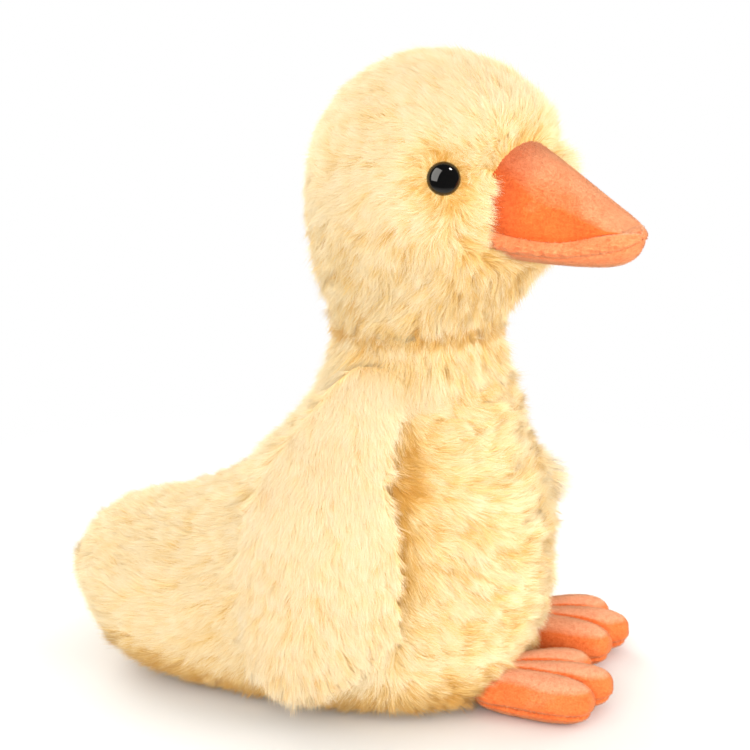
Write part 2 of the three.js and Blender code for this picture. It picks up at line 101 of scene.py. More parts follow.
# Bill
BILL_REACH = 92.5
BILL_BACK = 34.0
BILL_WIDTH = 58.0
BILL_RIDGE_HEIGHT = 34.0
BILL_UNDER_DEPTH = 12.5
BILL_SEAM_HEIGHT = 187.0
LIP_TIP_FULLNESS = 2.6
LIP_BULGE = 0.9
LIP_CRINKLE = 0.4
STITCH_LENGTH = 2.4
SEAM_DEPTH = 1.3
# Reach of the painted shade at the bill's root
BILL_ROOT_SHADE_REACH = 47.0

# Wings
WING_TOP_HEIGHT = 135.0
WING_BOTTOM_HEIGHT = 17.0
WING_TOP_WIDTH = 30.0
WING_WIDTH = 64.0
WING_CENTRE_BACK = 18.0
WING_TOP_BACK = 5.0
WING_BOTTOM_SLANT = 9.0
WING_THICKNESS = 13.0
WING_WRAP = 7.0
WING_SWING_HEIGHT = 131.0
WING_SWINGS = {"right": 0.0, "left": 17.0}

# Feet
TOE_LENGTH = 53.0
SIDE_TOE_SHARE = 0.92
TOE_WIDTH = 20.0
TOE_SPLAY = 23.0
WEB_LENGTH = 34.0
WEB_WIDTH = 32.0
FOOT_HEIGHT = 16.5
FOOT_LIFT = 1.0
SOLE_THICKNESS = 4.5
TOE_BLUNTNESS = 2.9
FOOT_VOXEL = 0.7
TOE_GROOVE_DEPTH = 2.4
SOLE_SEAM_DEPTH = 1.5
SOLE_STITCHES = 70
ANKLES = {"right": (29.5, -20.0, 17.0), "left": (20.5, 37.0, 17.0)}

# Pile. A seat is the cloth's depth below the solids' surface
PILE_SEAT = 3.2
WING_PILE_SEAT = 2.4
PILE_FLOOR = 0.2
CLOTH_FLOOR = 0.6
SPACING = 1.1
STRANDS = 13
STRAND_RADIUS = 0.10
ROUNDNESS = 2.0
STREAK_SHARE = 0.75
PIECE_STRANDS = 63000
SPIKE = np.array([(0, 1, 3), (1, 2, 3), (2, 0, 3)])
LENGTHS = {"body": 8.4, "head": 6.2, "wing": 6.6}
# Radians from upright
LEANS = {"body": 1.08, "head": 1.12, "wing": 1.24}
LOCKS = {"body": 4.6, "head": 4.4, "wing": 4.5}
OVER_WING_LENGTH = 8.0
FAR_BROW_LENGTH = 6.5
FAR_TUFT_LENGTH = 9.5
FAR_TUFT_HEIGHT = 71.0

# How far locks, places, streaks and single strands differ
LOCK_TURN, PLACE_TURN, STREAK_TURN = 0.16, 0.05, 0.22
LOCK_LIFT, STREAK_LIFT, STRAND_LIFT = 0.22, 0.20, 0.12
LOCK_LENGTH, STRAND_LENGTH = 0.8, 0.9
STRAND_SWAY = 0.20

# Nap of the velour
NAP_SPACINGS = {"bill": 0.5, "foot": 0.55}
NAP_LENGTH = 0.55
NAP_RADIUS = 0.16
NAP_START = 40.0

# Camera, and lamps in metres and watts
CAMERA_TURN = 20.0
CAMERA_RISE = 16.5
CAMERA_AIM = (-13.336, -9.95, 123.32)
CAMERA_LENS = 128.0
LAMP_AIM = (0.02, 0.0, 0.12)
LAMPS = (
    ("key", (-0.40, -1.22, 0.80), (1.0, 1.5), 5.0),
    ("front", (0.30, -1.40, 0.40), (1.1, 1.1), 17.0),
    ("fill", (1.3, -0.2, 0.35), (1.0, 1.0), 15.0),
    ("back", (-1.1, 0.9, 0.9), (1.2, 1.2), 24.0),
    ("far", (0.9, 1.2, 0.6), (1.1, 1.1), 10.0),
)
MIRRORED_CARDS = (
    ("window", (-0.44, -0.66, 0.66), (0.85, 1.2), 20.0),
    ("lamp", (0.75, 0.06, 1.25), (0.26, 0.26), 10.0),
)
SKY_LIGHT = 0.85
SKY_IN_GLOSS = 0.12

DOWN = np.array([0.0, 0.0, -1.0])
BACK = np.array([-1.0, 0.0, 0.0])


def smoothstep(x, low, high):
    t = np.clip((np.asarray(x, float) - low) / (high - low), 0, 1)
    return t * t * (3 - 2 * t)


def fade(x, low, high):
    return 1 - smoothstep(x, low, high)


def bell(x, middle, width):
    return np.exp(-(((x - middle) / width) ** 2))


def turns(around):
    """Angles of that many points round a ring."""
    return 2 * np.pi * np.arange(around) / around


def level_ring(x, z, length, width, angle):
    """An oval ring at one height."""
    return np.stack([x + length * np.cos(angle), width * np.sin(angle), np.full(len(angle), z)], -1)


def unit(v):
    return v / np.maximum(np.linalg.norm(v, axis=-1, keepdims=True), 1e-9)


def superellipse(value, power):
    return np.sign(value) * np.abs(value) ** (2 / power)


def waves(points, size, seed, amount=1.0):
    """Smooth random vectors that vary over about that many millimetres."""
    rng = np.random.default_rng(seed)
    total = np.zeros_like(points)
    for _ in range(7):
        direction = unit(rng.normal(size=3)) * 2 * math.pi / (size * rng.uniform(0.7, 1.5))
        swing = rng.normal(size=3)
        total += np.sin(points @ direction + rng.uniform(0, 2 * math.pi))[:, None] * swing
    return total * amount / math.sqrt(7)


# ---------------- forms

SECTIONS = np.array([
    # back x, back z, front x, front z, half width
    (-NECK_RADIUS, NECK_HEIGHT, NECK_RADIUS, NECK_HEIGHT, NECK_RADIUS),
    (-NECK_RADIUS * 1.06, NECK_HEIGHT * 0.9, NECK_RADIUS * 1.05, NECK_HEIGHT * 0.9,
     NECK_RADIUS * 1.06),
    (-SHOULDER_BACK * 0.83, SHOULDER_HEIGHT * 1.115, CHEST_REACH * 0.71, SHOULDER_HEIGHT * 1.105,
     BODY_HALF_WIDTH * 0.67),
    (-SHOULDER_BACK, SHOULDER_HEIGHT, CHEST_REACH * 0.81, SHOULDER_HEIGHT * 0.96,
     BODY_HALF_WIDTH * 0.77),
    (-TAIL_REACH * 0.425, SHOULDER_HEIGHT * 0.894, CHEST_REACH * 0.95, CHEST_HEIGHT * 1.37,
     BODY_HALF_WIDTH * 0.895),
    (-TAIL_REACH * 0.52, BACK_HEIGHT * 1.125, CHEST_REACH, CHEST_HEIGHT, BODY_HALF_WIDTH * 0.965),
    (-TAIL_REACH * 0.635, BACK_HEIGHT, CHEST_REACH * 0.95, CHEST_HEIGHT * 0.6, BODY_HALF_WIDTH),
    (-TAIL_REACH * 0.746, TAIL_TOP_HEIGHT * 1.05, BASE_FRONT, BASE_FRONT_HEIGHT, BODY_HALF_WIDTH),
    (-TAIL_REACH * 0.85, TAIL_TOP_HEIGHT, -BASE_FRONT * 0.14, -SEAT_DEPTH, BODY_HALF_WIDTH * 0.947),
    (-TAIL_REACH * 0.933, TAIL_TOP_HEIGHT * 0.94, -TAIL_REACH * 0.567, -SEAT_DEPTH,
     BODY_HALF_WIDTH * 0.86),
    (-TAIL_REACH * 0.98, TAIL_TOP_HEIGHT * 0.844, -TAIL_REACH * 0.815, TAIL_TIP_HEIGHT * 0.23,
     BODY_HALF_WIDTH * 0.684),
    (-TAIL_REACH, TAIL_TIP_HEIGHT * 1.21, -TAIL_REACH * 0.925, TAIL_TIP_HEIGHT * 0.684,
     TAIL_TIP_HALF_WIDTH),
])


def body_section(place):
    """Middle, unit long axis, half length and half width of the body's section at each place."""
    place = np.asarray(place, float)
    last = len(SECTIONS) - 1
    i = np.clip(np.floor(place).astype(int), 0, last - 1)
    p = (place - i)[..., None]
    before = SECTIONS[np.where(i == 0, 1, i - 1)]
    after = SECTIONS[np.where(i == last - 1, last - 1, i + 2)]
    low, high = SECTIONS[i], SECTIONS[i + 1]
    row = (
        before * (-0.5 * p**3 + p**2 - 0.5 * p)
        + low * (1.5 * p**3 - 2.5 * p**2 + 1)
        + high * (-1.5 * p**3 + 2 * p**2 + 0.5 * p)
        + after * (0.5 * p**3 - 0.5 * p**2)
    )
    back = np.stack([row[..., 0], row[..., 0] * 0, row[..., 1]], -1)
    front = np.stack([row[..., 2], row[..., 2] * 0, row[..., 3]], -1)
    span = back - front
    length = np.linalg.norm(span, axis=-1)
    return (back + front) / 2, span / length[..., None], length / 2, row[..., 4]


def body_points(inset, along, around):
    """Rings of the body form, shrunk by an inset."""
    last = len(SECTIONS) - 1
    tail = body_section(last)[0]
    end = float(last)
    while np.linalg.norm(body_section(end)[0] - tail) < inset:
        end -= 0.01
    angle = turns(around)
    rings = []
    for place in np.linspace(0, end, along + 1):
        centre, axis, half, side = body_section(place)
        flattening = smoothstep(place, 5, 8)
        square = 2 + (BASE_SQUARENESS - 2) * flattening
        power = np.where(np.cos(angle) < 0, square, 2.0)
        ring = centre + (half - inset) * superellipse(np.cos(angle), power)[:, None] * axis
        ring[:, 1] = (side - inset) * superellipse(np.sin(angle), power)
        rings.append(ring)
    return np.array(rings)


def head_points(inset, throat, crown, around):
    """Rings of the head form from the neck seam to the crown."""
    angle = turns(around)
    rings = []
    for step in range(throat):
        share = step / throat
        blend = math.sin(math.pi / 2 * share) ** THROAT_FULLNESS
        height = NECK_HEIGHT + (HEAD_CENTRE_HEIGHT - NECK_HEIGHT) * share
        length = NECK_RADIUS + (HEAD_RADIUS - NECK_RADIUS) * blend - inset
        width = NECK_RADIUS + (HEAD_WIDTH / 2 - NECK_RADIUS) * blend - inset
        rings.append(level_ring(HEAD_FORWARD * blend, height, length, width, angle))
    for step in range(crown + 1):
        turn = math.pi / 2 * step / (crown + 0.15)
        shrink = float(superellipse(math.cos(turn), CROWN_SQUARENESS))
        rise = (CROWN_RISE - inset) * float(superellipse(math.sin(turn), CROWN_SQUARENESS))
        length, width = (HEAD_RADIUS - inset) * shrink, (HEAD_WIDTH / 2 - inset) * shrink
        rings.append(level_ring(HEAD_FORWARD, HEAD_CENTRE_HEIGHT + rise, length, width, angle))
    rings = np.array(rings)
    x, y, z = rings[..., 0], rings[..., 1], rings[..., 2]
    across = y / (FACE_HOLLOW_WIDTH / 2)
    above = (z - BILL_SEAM_HEIGHT - FACE_HOLLOW_RISE) / (FACE_HOLLOW_HEIGHT / 2)
    depth = FACE_HOLLOW * np.exp(-(across**2) - above**2)
    rings[..., 0] = x - depth * smoothstep(x, 0, HEAD_RADIUS / 2)
    return rings


def bill_taper(s, power, root):
    return (1 - s**power) ** root


def bill_sizes(s):
    """x, half width, top, seam height and bottom of the bill, s from 0 in the face to 1 at the tip."""
    width = BILL_WIDTH / 2 * bill_taper(s, 1.6, 0.6)
    ridge = BILL_RIDGE_HEIGHT * bill_taper(s, 1.05, 0.97)
    under = BILL_UNDER_DEPTH * bill_taper(s, 9, 0.5)
    seam = BILL_SEAM_HEIGHT + (18 * (max(s, 0.15) - 0.62) ** 2 - 1.3) * bill_taper(s, 6, 0.5)
    seam += 2.4 * float(smoothstep(s, 0.55, 0.9)) * bill_taper(s, 12, 0.5)
    top = max(BILL_SEAM_HEIGHT + ridge, seam + 0.9 * bill_taper(s, 12, 0.5))
    x = BILL_BACK + s * (BILL_REACH - BILL_BACK)
    return x, width, top, seam, BILL_SEAM_HEIGHT - under


def bill_half(upper, along, around):
    """Rings of the upper or lower half of the bill, closed by a chord just past the side seam.

    Also returns s and the lift from the seam, 0 at the seam and 1 at the middle, of each point.
    """
    rings, places, lifts = [], [], []
    angle = np.pi * np.arange(around + 1) / around
    lift = np.sin(angle)
    for step in range(along):
        s = math.sin(math.pi / 2 * step / (along - 0.5))
        x, width, top, seam, bottom = bill_sizes(s)
        if not upper:
            width += LIP_TIP_FULLNESS * float(smoothstep(s, 0.7, 0.97)) * bill_taper(s, 9, 0.5)
        rise = (top - seam if upper else bottom - seam) * lift
        arc = np.stack([np.full(around + 1, x), width * np.cos(angle), seam + rise], -1)
        chord = np.linspace(arc[-1], arc[0], 10)[1:-1]
        chord[:, 2] += -0.8 if upper else 0.8
        arc[:, 0] -= 0.9 * float(smoothstep(s, 0.85, 1)) * upper
        chord[:, 0] = arc[0, 0]
        rings.append(np.vstack([arc, chord]))
        places.append(np.full(len(arc) + len(chord), s))
        lifts.append(np.concatenate([lift, np.zeros(len(chord))]))
    return np.array(rings), np.array(places), np.array(lifts)


def body_side_at(height):
    """Half width of the body at a height, read from the middle line of its sections."""
    places = np.arange(0, 6, 0.05)
    centre, _, _, side = body_section(places)
    lower = np.nonzero(centre[:, 2] <= height)[0]
    return side[lower[0]] if len(lower) else BODY_HALF_WIDTH


def wing_level(t):
    """Half width, half thickness, x, y and height of the wing, 0 at its top, 1 at its bottom."""
    height = WING_TOP_HEIGHT + (WING_BOTTOM_HEIGHT - WING_TOP_HEIGHT) * t
    bottom = math.sqrt(max(0, 1 - max(0, (t - 0.72) / 0.285) ** 2))
    top = math.sqrt(max(0, 1 - max(0, (0.1 - t) / 0.105) ** 2))
    thickest = WING_THICKNESS / 2 * (0.6 + 0.4 * float(smoothstep(t, 0, 0.4)))
    spread = WING_TOP_WIDTH + (WING_WIDTH - WING_TOP_WIDTH) * float(smoothstep(t, 0, 0.6))
    back = (WING_CENTRE_BACK - WING_TOP_BACK) * float(smoothstep(t, 0, 0.35))
    slant = WING_BOTTOM_SLANT * float(smoothstep(t, 0.75, 1))
    return (
        spread * bottom * top / 2,
        thickest * math.sqrt(bottom * top),
        -WING_TOP_BACK - back - slant,
        body_side_at(height) + 0.6 + thickest * math.sqrt(top),
        height,
    )


def wing_points(inset, along, around, side, half=0):
    """Rings of a wing, wrapped round the body and swung into place. side is right or left.

    half is 1 for the outer half alone, -1 for the inner half, 0 for the whole wing.
    """
    angle = turns(around)
    rise = np.sin(angle) if half == 0 else np.where(half * np.sin(angle) > 0, np.sin(angle), 0.0)
    rings = []
    for step in range(along + 1):
        half_width, half_thick, x, y, z = wing_level(0.5 - 0.5 * math.cos(math.pi * step / along))
        half_width, half_thick = half_width - inset, half_thick - inset
        if min(half_width, half_thick) < 0.3:
            continue
        rings.append(
            np.stack([x + half_width * np.cos(angle), y + half_thick * rise, np.full(around, z)], -1))
    rings = np.array(rings)
    out = (rings[..., 0] + WING_CENTRE_BACK) / (WING_WIDTH / 2)
    rings[..., 1] -= WING_WRAP * out**2
    swing = math.radians(-WING_SWINGS[side])
    x, z = rings[..., 0].copy(), rings[..., 2] - WING_SWING_HEIGHT
    rings[..., 0] = x * math.cos(swing) + z * math.sin(swing)
    rings[..., 2] = WING_SWING_HEIGHT - x * math.sin(swing) + z * math.cos(swing)
    if side == "right":
        rings[..., 1] *= -1
    return rings


# ---------------- meshes


def lofted(rings, close_ends=True):
    """Points and triangles of a closed surface through rings, facing outwards."""
    count, around = rings.shape[:2]
    points = rings.reshape(-1, 3)
    ring = np.arange(count - 1)[:, None] * around
    i = np.arange(around)[None, :]
    a, b = (ring + i).ravel(), (ring + (i + 1) % around).ravel()
    faces = [np.stack([a, b, b + around], -1), np.stack([a, b + around, a + around], -1)]
    if close_ends:
        first, last = len(points), len(points) + 1
        points = np.vstack([points, rings[0].mean(0), rings[-1].mean(0)])
        i = np.arange(around)
        j = (i + 1) % around
        end = (count - 1) * around
        faces.append(np.stack([np.full(around, first), j, i], -1))
        faces.append(np.stack([np.full(around, last), end + i, end + j], -1))
    faces = np.vstack(faces)
    corner = points[faces]
    volume = np.einsum("ij,ij->i", corner[:, 0], np.cross(corner[:, 1], corner[:, 2])).sum()
    return points, faces if volume > 0 else faces[:, ::-1]


def vertex_normals(points, faces):
    corner = points[faces]
    cross = np.cross(corner[:, 1] - corner[:, 0], corner[:, 2] - corner[:, 0])
    normals = np.zeros_like(points)
    for k in range(3):
        for axis in range(3):
            normals[:, axis] += np.bincount(faces[:, k], cross[:, axis], len(points))
    return unit(normals)


def turned(vectors, body):
    """Points or directions of the head, turned about the neck axis; those of other bodies as given."""
    if body != "head":
        return vectors
    a = math.radians(HEAD_TURN)
    turn = np.array([(math.cos(a), -math.sin(a), 0), (math.sin(a), math.cos(a), 0), (0, 0, 1)])
    return vectors @ turn.T


def make_object(name, points, faces, material, body, normals=None, uv=None):
    """A mesh in the row frame from points in millimetres, riding on a body."""
    mesh = bpy.data.meshes.new(name)
    points = turned(points, body)
    points = ((points + SHIFT) / 1000).astype(np.float32)
    faces = np.ascontiguousarray(faces, np.int32)
    mesh.vertices.add(len(points))
    mesh.vertices.foreach_set("co", points.ravel())
    mesh.loops.add(faces.size)
    mesh.loops.foreach_set("vertex_index", faces.ravel())
    mesh.polygons.add(len(faces))
    mesh.polygons.foreach_set("loop_start", np.arange(0, faces.size, 3, dtype=np.int32))
    mesh.update(calc_edges=True)
    mesh.shade_smooth()
    if uv is not None:
        layer = mesh.uv_layers.new(name="OFBake")
        layer.data.foreach_set("uv", uv[faces].astype(np.float32).ravel())
    if normals is not None:
        mesh.normals_split_custom_set_from_vertices(turned(normals, body).astype(np.float32))
    mesh.materials.append(material)
    made = bpy.data.objects.new(name, mesh)
    bpy.context.scene.collection.objects.link(made)
    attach(made, body)
    return made


def scatter(points, faces, normals, spacing, rng, keep=None):
    """Random places on a surface, one for each square of that spacing, with their normals."""
    corner = points[faces]
    cross = np.cross(corner[:, 1] - corner[:, 0], corner[:, 2] - corner[:, 0])
    area = np.linalg.norm(cross, axis=1) / 2
    count = int(area.sum() / spacing**2)
    bounds = np.cumsum(area)
    pick = np.searchsorted(bounds, (np.arange(count) + rng.random(count)) / count * bounds[-1])
    pick = np.clip(pick, 0, len(faces) - 1)
    u, v = rng.random(count), rng.random(count)
    flip = u + v > 1
    u[flip], v[flip] = 1 - u[flip], 1 - v[flip]
    weight = np.stack([1 - u - v, u, v], -1)[..., None]
    places = (corner[pick] * weight).sum(1)
    around = unit((normals[faces[pick]] * weight).sum(1))
    if keep is not None:
        kept = keep(places, around)
        places, around = places[kept], around[kept]
    return places, around


def nearest_lock(places, size, rng):
    """For each place the number of its lock and the way to the lock's middle."""
    share = min(1.0, (SPACING / size) ** 2)
    middles = places[rng.random(len(places)) < share]
    tree = KDTree(len(middles))
    for number, middle in enumerate(middles):
        tree.insert(middle, number)
    tree.balance()
    number = np.array([tree.find(place)[1] for place in places])
    return number, middles[number] - places


def pile(places, normals, flow, rng, length, lean, warmth, painted_shade_and_tone, pull, lock, frizz=1.0, facing=None):
    """Fine tapered strands that gather in soft locks. Returns points, normals and uv of one mesh.

    length, lean, warmth, painted_shade_and_tone and pull are numbers or one value for each place.
    flow is the direction that the pile is brushed in, lean its angle from upright. pull is how far
    the tips move to the middle of their lock, and lock how wide that is. facing replaces the normals
    in the shading. u of the uv holds a random tone, in the left half for pale strands and in the
    right half for warm ones; warmth paints shade as well as tone. v runs from root to tip, and ends
    nearer the golden root where painted_shade_and_tone is high, a painted shade that also varies the
    tone, and at the edges of locks, a painted shade between them.
    """
    n = len(places)
    total = n * STRANDS
    number, way = nearest_lock(places, lock, rng)
    own_lift, own_turn, own_length = rng.normal(size=(3, n))[:, number]

    def each(value, own):
        """The places' value for each strand, give or take its own share."""
        shared = np.broadcast_to(np.asarray(value, float), n).repeat(STRANDS)
        return shared + rng.normal(size=total) * own

    streak_turn, streak_lift, streak_length, streak_tone = rng.normal(size=(4, n)) * pull
    tangent = unit(flow - (flow * normals).sum(1)[:, None] * normals)
    turn = own_turn * LOCK_TURN + rng.normal(size=n) * PLACE_TURN + streak_turn * STREAK_TURN
    tangent = tangent * np.cos(turn)[:, None] + np.cross(normals, tangent) * np.sin(turn)[:, None]
    facing = normals if facing is None else facing
    centre, up, along, way, facing = (
        a.repeat(STRANDS, 0) for a in (places, normals, tangent, way, facing))
    side = np.cross(up, along)
    radius = SPACING * np.sqrt(rng.random(total))
    angle = 2 * np.pi * rng.random(total)
    offset = along * (radius * np.cos(angle))[:, None] + side * (radius * np.sin(angle))[:, None]
    lift = np.asarray(pull) * own_lift * LOCK_LIFT + streak_lift * STREAK_LIFT
    lean = np.clip(each(lean - lift, STRAND_LIFT), 0.0, 1.5)[:, None]
    sway = rng.normal(size=(total, 1)) * STRAND_SWAY * frizz
    long = each(length + np.asarray(pull) * own_length * LOCK_LENGTH + streak_length, STRAND_LENGTH)
    long = np.maximum(long, 1.0)[:, None]
    gather = each(pull, 0.05)[:, None] * way - offset * np.minimum(0.2 + each(pull, 0.0), 0.8)[:, None]
    root = centre + offset
    tip = root + (up * np.cos(lean) + (along + side * sway) * np.sin(lean)) * long + gather
    heading = unit(tip - root)
    x_axis = unit(np.cross(heading, unit(rng.normal(size=(total, 3)))))
    y_axis = np.cross(heading, x_axis)
    thick = STRAND_RADIUS * (0.75 + 0.5 * rng.random((total, 1)))
    rounded = facing - way * (0.45 * each(pull, 0.0) / lock)[:, None]
    points, shading = [], []
    for k in range(3):
        radial = x_axis * math.cos(2 * np.pi * k / 3) + y_axis * math.sin(2 * np.pi * k / 3)
        points.append(root + radial * thick)
        shading.append(unit(rounded + radial * ROUNDNESS))
    points.append(tip)
    shading.append(unit(rounded + heading * 0.25))
    tone = 0.5 * rng.random(n)[number].repeat(STRANDS) + 0.5 * rng.random(total)
    shared = rng.random(total) < STREAK_SHARE
    draw = np.where(shared, rng.random(n).repeat(STRANDS), rng.random(total))
    warm = draw < each(warmth, 0.0)
    u = 0.01 + 0.48 * tone + 0.5 * warm
    # Painted shade: strands at the edges of locks end in the golden root colour, as if shaded between
    # the locks.
    shade_between_locks = (np.linalg.norm(way, axis=1) / lock) ** 2 * each(pull, 0.0)
    end = np.clip(0.98 - each(painted_shade_and_tone + streak_tone * 0.75, 0.10) * 0.9 - 0.9 * shade_between_locks, 0.05, 1.0)
    v = np.stack([np.full(total, 0.02)] * 3 + [end], 1)
    uv = np.stack([np.repeat(u[:, None], 4, 1), v], -1)
    points = np.stack(points, 1).reshape(-1, 3)
    points[:, 2] = np.maximum(points[:, 2], PILE_FLOOR)
    return points, np.stack(shading, 1).reshape(-1, 3), uv.reshape(-1, 2)


def add_pile(name, body, made, centre, material):
    """Adds a pile as several objects, split by direction round an upright line."""
    points, normals, uv = made
    strand = points[::4]
    parts = max(1, math.ceil(len(strand) / PIECE_STRANDS))
    order = np.argsort(np.arctan2(strand[:, 1] - centre[1], strand[:, 0] - centre[0]), kind="stable")
    for part, chosen in enumerate(np.array_split(order, parts)):
        rows = (chosen[:, None] * 4 + np.arange(4)).ravel()
        faces = (np.arange(len(chosen))[:, None, None] * 4 + SPIKE[None]).reshape(-1, 3)
        obj = make_object(
            f"{name}_{part + 1}", points[rows], faces, material, body, normals[rows], uv[rows])


def fuzz(points, faces, normals, spacing, lean, rng):
    """Short straight spikes of napped cloth on a surface. Returns points, faces and normals."""
    places, up = scatter(points, faces, normals, spacing, rng)
    n = len(places)
    along = unit(rng.normal(size=(n, 3)) * 0.6 + lean)
    along = unit(along - (along * up).sum(1)[:, None] * up)
    tip = places + (up + along * 0.7) * (NAP_LENGTH * (0.7 + 0.6 * rng.random((n, 1))))
    side = np.cross(up, along)
    corners = [
        places + (along * math.cos(a) + side * math.sin(a)) * NAP_RADIUS for a in (0, 2.094, 4.189)]
    spikes = np.stack([*corners, tip], 1).reshape(-1, 3)
    shading = np.repeat(up, 4, 0)
    return spikes, (np.arange(n)[:, None, None] * 4 + SPIKE[None]).reshape(-1, 3), shading


# ---------------- materials


def rgba(colour):
    """Linear colour with alpha from #rrggbb."""
    values = [int(colour[i : i + 2], 16) / 255 for i in (1, 3, 5)]
    return (*(v / 12.92 if v <= 0.04045 else ((v + 0.055) / 1.055) ** 2.4 for v in values), 1.0)


class Nodes:
    """A short way to wire the shader nodes of a material or a world."""

    def __init__(self, owner, shader="Principled BSDF"):
        owner.use_nodes = True
        self.owner, self.tree = owner, owner.node_tree
        self.shader = self.tree.nodes[shader]

    def add(self, kind, inputs=None, **settings):
        node = self.tree.nodes.new(kind)
        for key, value in settings.items():
            setattr(node, key, value)
        for key, value in (inputs or {}).items():
            if isinstance(value, bpy.types.NodeSocket):
                self.tree.links.new(value, node.inputs[key])
            else:
                node.inputs[key].default_value = value
        return node

    def link(self, output, name):
        self.tree.links.new(output, self.shader.inputs[name])

    def set(self, **values):
        for key, value in values.items():
            self.shader.inputs[key.replace("_", " ")].default_value = value

    def place(self):
        return self.add("ShaderNodeTexCoord").outputs["Object"]

    def noise(self, place, scale, detail=2.0, roughness=0.5):
        inputs = {"Vector": place, "Scale": scale, "Detail": detail, "Roughness": roughness}
        return self.add("ShaderNodeTexNoise", inputs).outputs["Fac"]

    def bump(self, height, strength, distance, **under):
        inputs = {"Height": height, "Strength": strength, "Distance": distance, **under}
        return self.add("ShaderNodeBump", inputs).outputs["Normal"]

    def calc(self, operation, *values):
        return self.add("ShaderNodeMath", dict(enumerate(values)), operation=operation).outputs[0]

    def remap(self, value, low, high, start=0.0, end=1.0):
        """A value that runs from start to end, made to run from low to high."""
        inputs = {"Value": value, "From Min": start, "From Max": end, "To Min": low, "To Max": high}
        return self.add("ShaderNodeMapRange", inputs).outputs["Result"]

    def ramp(self, factor, stops):
        node = self.add("ShaderNodeValToRGB", {"Fac": factor})
        elements = node.color_ramp.elements
        while len(elements) < len(stops):
            elements.new(0.5)
        for element, (place, colour) in zip(elements, stops):
            element.position = place
            element.color = rgba(colour)
        return node.outputs["Color"]

    def mix(self, factor, a, b, blend="MIX"):
        inputs = {0: factor, 6: a, 7: b}
        return self.add("ShaderNodeMix", inputs, data_type="RGBA", blend_type=blend).outputs[2]


def fur_material(name, pale, warm):
    """Fur whose colour runs from root to tip, pale in the left half of its uv and warm in the right."""
    n = Nodes(bpy.data.materials.new(name))
    uv = n.add("ShaderNodeUVMap", uv_map="OFBake")
    split = n.add("ShaderNodeSeparateXYZ", {"Vector": uv.outputs["UV"]})
    u, v = split.outputs["X"], split.outputs["Y"]
    light, painted_shade_and_tone = (n.ramp(v, list(zip((0.0, 0.5, 1.0), colours))) for colours in (pale, warm))
    colour = n.mix(n.calc("GREATER_THAN", u, 0.5), light, painted_shade_and_tone)
    tone = n.calc("FRACT", n.calc("MULTIPLY", u, 2.0))
    shade = n.ramp(tone, [(0.0, "#faf4e8"), (0.5, "#fdfbf6"), (1.0, "#ffffff")])
    n.link(n.mix(1.0, colour, shade, "MULTIPLY"), "Base Color")
    n.set(Roughness=0.8, Specular_IOR_Level=0.2)
    n.set(Sheen_Weight=0.3, Sheen_Roughness=0.5, Sheen_Tint=rgba("#fff2d8"))
    return n.owner


def cloth_material(name, dark, light):
    """Knitted backing cloth under the pile."""
    n = Nodes(bpy.data.materials.new(name))
    place = n.place()
    weave = n.add("ShaderNodeTexVoronoi", {"Vector": place, "Scale": 900.0}).outputs["Distance"]
    base = n.ramp(n.noise(place, 90.0, 4.0), [(0.35, dark), (0.65, light)])
    shade = n.ramp(weave, [(0.0, "#ffffff"), (0.8, "#d8c8a8")])
    n.link(n.mix(1.0, base, shade, "MULTIPLY"), "Base Color")
    n.link(n.bump(weave, 0.3, 0.0004), "Normal")
    n.set(Roughness=0.95)
    return n.owner


def velour_material(name, dark, middle, light, root=None):
    """Short-nap velour: mottled where the nap lies one way or the other, and paler where it faces up, a
    painted highlight.

    root is the colour of the painted shade on a bill where it leaves the face, under the fur.
    """
    n = Nodes(bpy.data.materials.new(name))
    place = n.place()
    patches = n.noise(place, 75.0, 3.0)
    mottle = n.noise(place, 650.0, 3.0, 0.6)
    nap = n.noise(place, 1800.0, 3.0, 0.65)
    normal = n.add("ShaderNodeNewGeometry").outputs["Normal"]
    facing = n.add("ShaderNodeSeparateXYZ", {"Vector": normal})
    # Painted highlight: faces that point up are made paler, as if lit from above.
    upward = n.remap(facing.outputs["Z"], -0.04, 0.34, 0.62, 0.98)
    level = n.calc("ADD", n.remap(patches, 0.32, 0.68), upward)
    colour = n.ramp(level, [(0.3, dark), (0.5, middle), (0.72, light)])
    # Painted shade: the bill darkens to the root colour where it leaves the face, under the fur.
    if root:
        turn = math.radians(HEAD_TURN)
        forward = (math.cos(turn), math.sin(turn), 0)
        reach = n.add("ShaderNodeVectorMath", {0: place, 1: forward}, operation="DOT_PRODUCT")
        face = (SHIFT[0] * math.cos(turn) + BILL_ROOT_SHADE_REACH) / 1000
        near = n.remap(reach.outputs["Value"], 0.6, 0.0, face, face + 0.011)
        colour = n.mix(near, colour, rgba(root))
    specks = n.ramp(mottle, [(0.32, "#f3ddd2"), (0.5, "#fcf5f1"), (0.7, "#ffffff")])
    grain = n.ramp(nap, [(0.3, "#ead8ce"), (0.7, "#ffffff")])
    n.link(n.mix(1.0, n.mix(1.0, colour, specks, "MULTIPLY"), grain, "MULTIPLY"), "Base Color")
    n.link(n.bump(mottle, 0.3, 0.0008, Normal=n.bump(nap, 0.5, 0.0005)), "Normal")
    n.set(Roughness=0.85, Specular_IOR_Level=0.15)
    n.set(Sheen_Weight=0.8, Sheen_Roughness=0.3, Sheen_Tint=rgba("#ffc89c"))
    return n.owner


def gloss_material(name, colour, worn, roughness):
    """Polished plastic with a faint unevenness in tone and gloss."""
    n = Nodes(bpy.data.materials.new(name))
    wear = n.noise(n.place(), 700.0)
    n.link(n.remap(wear, roughness, roughness + 0.03), "Roughness")
    n.link(n.ramp(wear, [(0.3, colour), (0.7, worn)]), "Base Color")
    n.set(Specular_IOR_Level=0.4)
    return n.owner


def plastic_material(name, dark, light):
    n = Nodes(bpy.data.materials.new(name))
    n.link(n.ramp(n.noise(n.place(), 2000.0), [(0.3, dark), (0.7, light)]), "Base Color")
    n.set(Roughness=0.5)
    return n.owner
